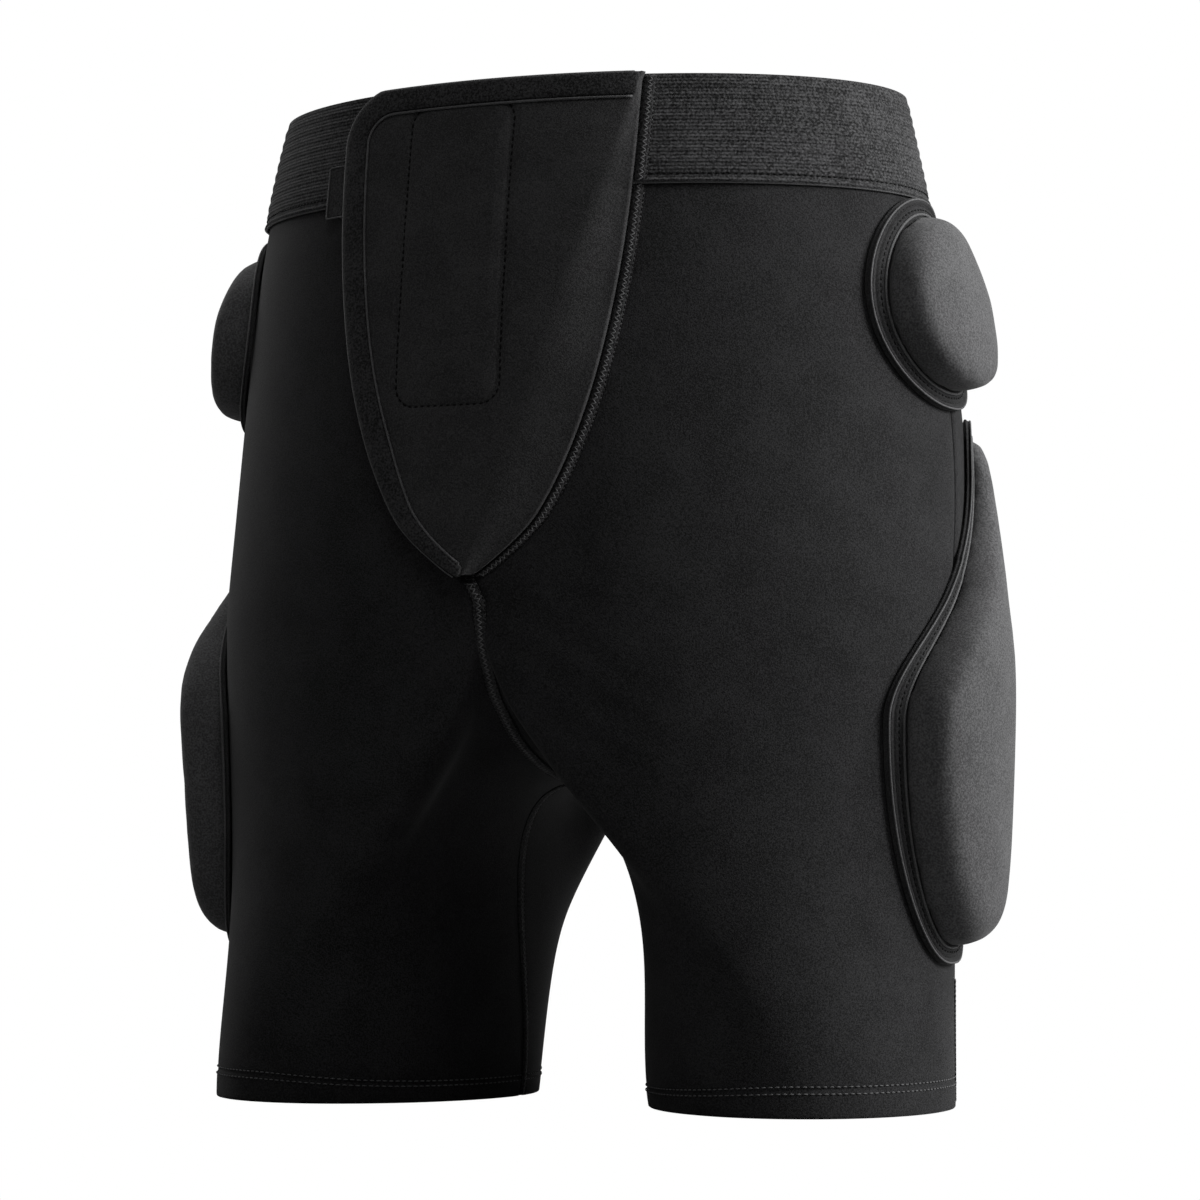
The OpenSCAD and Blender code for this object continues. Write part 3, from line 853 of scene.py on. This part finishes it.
# %% Sew the seams
sewn_seam("flap_seam", flap_seam_at, 90, 0.0056)
sewn_seam("waistband_end_seam", band_end_at, 24, 0.0056)
sewn_seam("centre_seam", centre_seam_at, 160, 0.0064)
for side in ("left", "right"):
    turned = side == "right"
    leg_core = mirrored(turned, Vector((0.11, -0.01, 0.08)))
    sewn_seam(f"{side}_inseam", inseam_at, 60, 0.0056, leg_core, turned)
    sewn_seam(f"{side}_side_seam", side_seam_at, 24, 0.0044, leg_core, turned, proud=0.0003)

# %% [markdown]
# ## Hems, waist join, and small pieces
# The leg hems are turned up inside and held by two rows of cover stitch. A corded join runs under the
# waistband. A bar tack, a dense block of thread, takes the strain at the flap's tip, and a small folded
# tab peeps out beside the flap.

# %% Hems
turn_up = 0.014
fine_bead = (0.0024, 0.0007, 0.0006)
for side in ("left", "right"):
    turned = side == "right"
    for row, height in (("lower", hem_h - 0.0016), ("upper", hem_h + 0.0016)):
        def hem_at(t, across, lift, height=height, turned=turned):
            z = height + across
            return mirrored(turned, leg(360 * t, z / fork_z, hem_lift(z) + 0.0002 + lift))
        stitch_row(f"{side}_hem_{row}_stitching", hem_at, 400, 0.0031, fine_bead, grey_thread, "shorts")

    def turned_up(u, v, turned=turned):
        return mirrored(turned, leg(360 * u, v * turn_up / fork_z, -cloth_t - gap))

    hem, hem_area = laid_cloth(f"{side}_leg_hem", turned_up, 100, 8, 0.0016, shell_knit, "shell_cloth",
                               "shorts", mirrored(turned, Vector((hem_x, -0.014, turn_up / 2))))
    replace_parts(hem, f"{side}_leg_hem")

# %% Waist join
join_points = [trunk(mix(band_from(band_z), band_to, i / 240), band_z - 0.0004, gap + 0.0007)
               for i in range(241)]
# A real corded seam, in a light grey that is partly a painted highlight along its top.
cord_along("waistband_join_cord", join_points, 0.0006, cord_and_painted_highlight, "piping", "shorts")


def waist_row_at(t, across, lift):
    return trunk(mix(band_from(band_z), band_to, t), band_z + 0.0036 + across, gap + band_t - 0.0004 + lift)


# The waistband's row is near-black: real thread, and painted shade of the stitch holes.
stitch_row("waistband_stitching", waist_row_at, 400, 0.0030, fine_bead, black_thread, "shorts")


# %% Bar tack and tab
for row in range(5):
    def tack_row(t, across, lift, tack_z=flap_tip_z - 0.0005 + (row - 2) * 0.0009):
        return on_front(flap_x + 0.0036 * (2 * t - 1), tack_z + across, gap + 0.0012 + lift)
    # The bar tack is near-black: real thread, and painted shade between its dense stitches.
    thread_row = stitch_row(f"flap_tip_tack_{row}", tack_row, 20, 0.0018, (0.0024, 0.0009, 0.0012),
                            black_thread, "shorts")
    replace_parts(thread_row, "flap_tip_bar_tack")


tab_t, tab_end, tab_low, tab_high = 0.0009, -0.094, 0.4215, 0.4465
tab_lift = band_t + 2 * gap + tab_t


def tab_point(u, v):
    return on_front(mix(-0.070, tab_end, u), mix(tab_low, tab_high, v), tab_lift)


waistband_tab, _ = laid_cloth("waistband_tab", tab_point, 12, 12, tab_t, binding_knit, "binding", "shorts")
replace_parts(round_off(waistband_tab), "waistband_tab")
tab_outline = [(-0.072, tab_high), (tab_end, tab_high), (tab_end, tab_low), (-0.072, tab_low)]
tab_edge = [on_front(x, z, tab_lift) for x, z in evenly(tab_outline, 40)]
# The light cord round the tab is partly a painted highlight along its folded edge.
cord_along("waistband_tab_cord", tab_edge, 0.0004, cord_and_painted_highlight, "piping", "shorts")


# %% [markdown]
# ## Hook and loop patches
# Shut, they are hidden; with the flap open, they are the first thing seen. Each is a thin patch with
# rounded corners. The loops are a soft felt. The hooks are rows of tiny stems, so the patch gets real
# stubs: small four-sided cones in a close grid.

# %% Patches
def patch(name, left, right, low, high, lift, thickness, material, slot):
    """A thin patch laid on the front, its corners rounded by drawing its grid in."""
    def rounded(u, v):
        a, b = 2 * u - 1, 2 * v - 1
        x = (left + right) / 2 - a * math.sqrt(max(1 - 0.06 * b**8, 0)) * (right - left) / 2
        z = (low + high) / 2 + b * math.sqrt(max(1 - 0.03 * a**8, 0)) * (high - low) / 2
        return on_front(x, z, lift + thickness)

    return round_off(laid_cloth(name, rounded, 24, 48, thickness, material, slot)[0])


loop_patch = patch("loop_patch", -0.049, 0.006, 0.332, 0.469, gap, 0.0012, loop_tape, "loop_tape")
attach(loop_patch, "shorts")
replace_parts(loop_patch, "loop_patch")
hook_patch = patch("hook_patch", -0.050, 0.004, 0.330, 0.467, 0.0030, 0.0009, hook_tape, "hook_tape")
bend_with_flap(settle(hook_patch))
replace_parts(hook_patch, "hook_patch")

bm = bmesh.new()
hook_pitch, hook_lift, first_x, first_z = 0.0026, 0.0026, -0.048, 0.332
for column in range(19):
    for row in range(51):
        hook = on_front(first_x + (column + 0.5) * hook_pitch, first_z + (row + 0.5) * hook_pitch, hook_lift)
        bmesh.ops.create_cone(bm, cap_ends=True, segments=4, radius1=0.0005, radius2=0.0003, depth=0.0008,
                              matrix=Matrix.Translation(hook) @ Matrix.Rotation(math.pi / 2, 4, "X"))
hook_stems = finish_piece("hook_stems", bm, hook_tape, "hook_tape", weld=False)
bend_with_flap(hook_stems)
print("hook stems", len(hook_stems.data.polygons) // 6)


# %% [markdown]
# ## The pads
# Each pad is a foam block under a knit cover, sewn down through a wide border. Its outline is drawn
# flat: a middle, two half-sizes, and how squarely it turns its corners. The thigh pad also narrows and
# leans back as it rises.

# %% Pad outlines
border = 0.010
pad_gap, base_t = 0.0009, 0.002
cover_low = pad_gap + base_t + gap


class PadShape:
    """A pad's flat outline: sizes in metres, in the flat coordinates of its place on the form."""

    def __init__(self, lay, middle, half, square, narrow, lean, between, height, steps, thinning=0.0):
        self.lay, self.middle, self.half, self.square = lay, middle, half, square
        self.narrow, self.lean, self.between = narrow, lean, between
        self.height, self.steps, self.thinning = height, steps, thinning

    def flat(self, turn, ring, grow):
        """A flat point at a turn in degrees, drawn in by ring and widened by grow."""
        v = sind(turn) * ring
        z = self.middle[1] + (self.half[1] + grow) * v
        share = ease((z - self.between[0]) / (self.between[1] - self.between[0]))
        half = self.half[0] * (1 - self.narrow * share) + grow
        across = math.copysign(abs(cosd(turn)) ** self.square, cosd(turn)) * ring
        return self.middle[0] + self.lean * share + half * across, z

    def point(self, turn, ring, grow, lift):
        return self.lay(*self.flat(turn, ring, grow), lift)

    def thick(self, turn, ring):
        """The pad's thickness at a point: less towards its upper end."""
        up = (self.flat(turn, ring, 0)[1] - self.middle[1]) / self.half[1]
        return self.height * (1 - self.thinning * ease(up))


PADS = {
    "hip": PadShape(on_side, (0.001, 0.377), (0.038, 0.040), 0.90, 0.06, 0, (0.339, 0.415),
                    0.023, 150, thinning=0.22),
    "thigh": PadShape(on_side, (-0.004, 0.197), (0.038, 0.119), 0.72, 0.50, 0.048, (0.180, 0.296),
                      0.027, 300, thinning=0.55),
    "seat": PadShape(on_back, (0.068, 0.288), (0.044, 0.050), 0.85, 0.10, -0.004, (0.238, 0.338),
                     0.017, 170),
    "tailbone": PadShape(on_back, (0, 0.380), (0.022, 0.032), 0.80, -0.45, 0, (0.348, 0.412),
                         0.017, 130),
}


def even_turns(shape, grow, count):
    """Turns that space points evenly round a pad's outline."""
    fine = [0.25 * i for i in range(1441)]
    reach = running_length([shape.flat(turn, 1, grow) for turn in fine])
    turns, k = [], 0
    for i in range(count):
        goal = reach[-1] * i / count
        while reach[k + 1] < goal:
            k += 1
        turns.append(fine[k] + 0.25 * (goal - reach[k]) / (reach[k + 1] - reach[k]))
    return turns


# %% [markdown]
# The cover is simulated. A closed cushion with a flat face and sloping walls is remeshed into even
# cells, and the Cloth modifier inflates it while the side that lies on the border is held still. The
# swelling is capped below two millimetres, because foam fills the cover and doesn't balloon. A left pad
# is simulated and its right twin is a mirrored copy.

# %% Simulate a cover
COVER_WALL = [(1.0, 0.0), (1.0, 0.30), (0.985, 0.55), (0.955, 0.76), (0.91, 0.91), (0.85, 0.98),
              (0.72, 1.0), (0.45, 1.0), (0.2, 1.0)]
cover_foot = 0.0010
cover_grow = 0.0014


def cushion_form(shape):
    """The closed cushion before it swells: rings of points bridged one to the next."""
    turns = even_turns(shape, 0, shape.steps // 2)
    rings = [[shape.point(t, r, cover_grow * r, mix(cover_foot, shape.thick(t, r) - 0.0008, h))
              for t in turns] for r, h in COVER_WALL]
    rings = [[shape.point(t, r, 0, cover_foot) for t in turns] for r in (0.3, 0.65)] + rings
    bm = bmesh.new()
    closed_section(bm, rings)
    bmesh.ops.triangulate(bm, faces=[f for f in bm.faces if len(f.verts) > 4])
    return bm


def swell(name, shape, cell=0.0032, cap=0.0016):
    """Remeshes the cushion, inflates it as cloth, caps how far it moves, and returns its mesh."""
    piece = finish_piece(name, cushion_form(shape), cover_knit, "pad_cover")
    cells = piece.modifiers.new("cells", "REMESH")
    cells.mode = "VOXEL"
    cells.voxel_size = cell
    settle(piece)
    rest = [v.co.copy() for v in piece.data.vertices]
    held = piece.vertex_groups.new(name="held")
    inside = Vector((0.09, 0, 0.2)) if shape.lay is on_side else Vector((0.05, 0, 0.3))
    for v in piece.data.vertices:
        down = v.normal.dot((v.co - Vector((inside.x, inside.y, v.co.z))).normalized()) < -0.2
        held.add([v.index], 1.0 if down else 0.0, "REPLACE")
    cloth = piece.modifiers.new("cloth", "CLOTH")
    cloth.settings.vertex_group_mass = "held"
    cloth.settings.use_pressure = True
    cloth.settings.uniform_pressure_force = 4.0
    cloth.settings.effector_weights.gravity = 0
    cloth.settings.quality = 6
    cloth.settings.tension_stiffness = 20
    cloth.settings.compression_stiffness = 20
    for step in range(1, 21):
        bpy.context.scene.frame_set(step)
    settle(piece)
    bpy.context.scene.frame_set(1)
    for v, start in zip(piece.data.vertices, rest):
        move = v.co - start
        if move.length > cap:
            v.co = start + move.normalized() * cap
    piece.vertex_groups.clear()
    return piece


# %% [markdown]
# Voxels leave small steps, so the swollen cover is relaxed with two passes of vertex smoothing before
# one subdivision. The border round it is then laid: from the cover outwards it is a stitched channel, a
# groove, and a rounded lip, whose height comes from one short formula.

# %% Covers, borders, piping and stitching
def relax(piece, passes=2):
    bm = bmesh.new()
    bm.from_mesh(piece.data)
    for _ in range(passes):
        bmesh.ops.smooth_vert(bm, verts=bm.verts, factor=0.5,
                              use_axis_x=True, use_axis_y=True, use_axis_z=True)
    bm.to_mesh(piece.data)
    bm.free()


def border_height(d):
    """Height of the border's face, at a distance outward from the foot of the cover."""
    channel = 0.0007 * bump(d - 0.0046, 0.0016) - 0.0008 * bump(d - 0.0046, 0.0006)
    groove = -0.0014 * bump(d - 0.0068, 0.0006)
    lip = 0.0009 * bump(d - 0.0084, 0.0011)
    edge = -0.0012 * ease((d - 0.0090) / 0.0012)
    return pad_gap + base_t + channel + groove + lip + edge


def foam_block(name, shape):
    """The foam inside a cover: the same cushion, a little smaller."""
    turns = even_turns(shape, 0, shape.steps // 3)
    rings = [[shape.point(t, 0.86 * r, 0, mix(cover_low, shape.thick(t, r) - 0.005, h)) for t in turns]
             for r, h in COVER_WALL]
    bm = bmesh.new()
    closed_section(bm, [[shape.point(t, 0.4, 0, cover_low) for t in turns]] + rings)
    return finish_piece(name, bm, foam, "foam", "shorts")


def twin(piece, name):
    """A mirrored copy of a left pad's piece for the right side."""
    bm = bmesh.new()
    bm.from_mesh(piece.data)
    bmesh.ops.scale(bm, vec=(-1, 1, 1), verts=bm.verts)
    bmesh.ops.reverse_faces(bm, faces=bm.faces)
    copy = finish_piece(name, bm, piece.data.materials[0], piece["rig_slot"], "shorts", weld=False)
    return round_off(copy) if piece.modifiers else copy


def pad_border(name, shape):
    turns = even_turns(shape, border, shape.steps)
    distances = [-0.006, -0.002, 0.0] + [0.0007 * i for i in range(1, 15)] + [border, border + 0.0004]
    rings = [[shape.point(t, 1, d, border_height(max(d, 0))) for t in turns] for d in distances]
    rings += [[shape.point(t, 1, d, pad_gap) for t in turns] for d in (border + 0.0004, 0.002, -0.006)]
    bm = bmesh.new()
    loops = [ring_loop(bm, ring) for ring in rings]
    for i, loop in enumerate(loops):
        bmesh.ops.bridge_loops(bm, edges=loops[i - 1] + loop)
    bmesh.ops.recalc_face_normals(bm, faces=bm.faces)
    return finish_piece(name, bm, border_knit, "pad_border", "shorts")


def pad_cord(name, shape, grow, lift, radius):
    points = [shape.point(t, 1, grow, lift) for t in even_turns(shape, grow, shape.steps)]
    return cord_along(name, points, radius, cord_and_painted_highlight, "piping", "shorts", ring=True)


def pad_stitches(name, shape, grow, size):
    def around(t, across, lift):
        return shape.point(360 * t, 1, grow + across, border_height(grow) + 0.0002 + lift)
    # The pad rows are near-black: real thread, and painted shade of the stitch holes in the channel and
    # groove.
    return stitch_row(name, around, 720, 0.0031, size, black_thread, "shorts")


def make_pad(prefix, shape):
    """All the seen pieces of one pad, on the left side or the middle."""
    cover = swell(f"{prefix}_pad_cover", shape)
    relax(cover)
    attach(round_off(cover), "shorts")
    return {
        "cover": cover,
        "foam": foam_block(f"{prefix}_pad_foam", shape),
        "base": pad_border(f"{prefix}_pad_base", shape),
        # The piping is real; its light grey is partly a painted highlight along the cord.
        "piping": pad_cord(f"{prefix}_pad_piping", shape, 0.0024, cover_low - 0.0001, 0.0007),
        # The light cord on the border's lip is a painted highlight along its rolled edge.
        "lip": pad_cord(f"{prefix}_pad_lip", shape, 0.0095, border_height(0.0084) - 0.0004, 0.0005),
        "stitching": pad_stitches(f"{prefix}_pad_stitching", shape, 0.0046, (0.0024, 0.0010, 0.0009)),
        "outer": pad_stitches(f"{prefix}_pad_outer_stitching", shape, 0.0068, (0.0022, 0.0007, 0.0006)),
    }


def declare_pad(prefix, parts):
    for key in ("cover", "base", "piping", "foam"):
        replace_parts(parts[key], f"{prefix}_pad_{key}")
    print(prefix, "pad cover has", len(parts["cover"].data.polygons), "faces")


for kind, outline in PADS.items():
    if kind == "tailbone":
        declare_pad("tailbone", make_pad("tailbone", outline))
        continue
    left_parts = make_pad(f"left_{kind}", outline)
    right_parts = {key: twin(part, part.name.replace("left_", "right_"))
                   for key, part in left_parts.items()}
    declare_pad(f"left_{kind}", left_parts)
    declare_pad(f"right_{kind}", right_parts)

# %% [markdown]
# ## Studio
# A pale sweep of paper stands behind and under the shorts. A large soft light on the wearer's left side
# picks out the pads and the band there, and a weaker one opens the other side. The paper and the world are
# plain white to the camera and much dimmer to everything else, so that little light bounces on to the knit.

# %% Paper sweep
def white_to_camera(tree, kind):
    """Mixes plain white in front of a node tree's last shader, for the camera's own rays only."""
    output = next(node for node in tree.nodes if node.type.startswith("OUTPUT"))
    lit = output.inputs["Surface"].links[0].from_socket
    path, chooser = add_node(tree, "LightPath"), add_node(tree, "MixShader")
    white = add_node(tree, kind, {"Color": (1, 1, 1, 1), "Strength": 1})
    for source, target in ((path.outputs["Is Camera Ray"], chooser.inputs[0]), (lit, chooser.inputs[1]),
                           (white.outputs[0], chooser.inputs[2]),
                           (chooser.outputs[0], output.inputs["Surface"])):
        tree.links.new(source, target)


bm = bmesh.new()
floor_far, wall_high, sweep_r = 2.4, 3.2, 0.8
profile = [Vector((-4.5, -3.5, -0.0002)), Vector((-4.5, floor_far - sweep_r, -0.0002))]
profile += [Vector((-4.5, floor_far - sweep_r + sweep_r * sind(a), sweep_r - sweep_r * cosd(a) - 0.0002))
            for a in range(10, 91, 10)]
profile += [Vector((-4.5, floor_far, wall_high))]
corners = [bm.verts.new(p) for p in profile]
edges = [bm.edges.new(pair) for pair in zip(corners, corners[1:])]
swept = bmesh.ops.extrude_edge_only(bm, edges=edges)["geom"]
bmesh.ops.translate(bm, vec=(9, 0, 0), verts=[g for g in swept if isinstance(g, bmesh.types.BMVert)])
bmesh.ops.recalc_face_normals(bm, faces=bm.faces)
paper = bpy.data.materials.new("paper")
paper.use_nodes = True
paper.node_tree.nodes["Principled BSDF"].inputs["Base Color"].default_value = (0.25, 0.25, 0.25, 1)
paper.node_tree.nodes["Principled BSDF"].inputs["Roughness"].default_value = 0.9
white_to_camera(paper.node_tree, "Emission")
make_object("paper_sweep", bm, paper)


# %% Lights
def softbox(name, place, aim, size, power):
    lamp = bpy.data.lights.new(name, "AREA")
    lamp.shape = "SQUARE"
    lamp.size = size
    lamp.energy = power
    light = bpy.data.objects.new(name, lamp)
    light.location = place
    light.rotation_mode = "QUATERNION"
    light.rotation_quaternion = (Vector(aim) - Vector(place)).to_track_quat("-Z", "Y")
    bpy.context.scene.collection.objects.link(light)


softbox("key_light", (1.80, 0.25, 0.95), (0.10, 0, 0.26), 0.8, 155)
softbox("fill_light", (-1.1, -1.6, 1.1), (-0.1, 0, 0.34), 0.8, 4)
softbox("top_light", (0.3, -0.9, 1.7), (0, 0, 0.44), 0.7, 12)
softbox("left_edge_light", (-1.6, 0.5, 0.8), (-0.15, 0, 0.28), 0.6, 10)
softbox("wall_light", (0, 0.9, 2.4), (0, 2.4, 0.7), 2.0, 150)
world = bpy.data.worlds.new("studio")
world.use_nodes = True
world.node_tree.nodes["Background"].inputs["Color"].default_value = (1, 1, 1, 1)
world.node_tree.nodes["Background"].inputs["Strength"].default_value = 0.18
white_to_camera(world.node_tree, "Background")
bpy.context.scene.world = world
bpy.context.scene.view_settings.view_transform = "Standard"

# %% [markdown]
# ## Camera
# The camera stands a little to the wearer's left and slightly below the middle of the shorts, far off
# with a long lens, so that the near leg is hardly larger than the far one.

# %% Camera
view_turn, view_tilt, view_far = math.radians(24.4), math.radians(-3.0), 1.970
aim_point = Vector((0, middle_y, outseam / 2))
camera_data = bpy.data.cameras.new("camera")
camera_data.lens = 121.4
camera_data.sensor_width = 36
camera_data.shift_x = 0.0085
camera_data.shift_y = 0.0027
camera = bpy.data.objects.new("camera", camera_data)
camera.location = aim_point + view_far * Vector((math.sin(view_turn) * math.cos(view_tilt),
                                                -math.cos(view_turn) * math.cos(view_tilt),
                                                math.sin(view_tilt)))
camera.rotation_mode = "QUATERNION"
camera.rotation_quaternion = (aim_point - camera.location).to_track_quat("-Z", "Y")
bpy.context.scene.collection.objects.link(camera)
bpy.context.scene.camera = camera
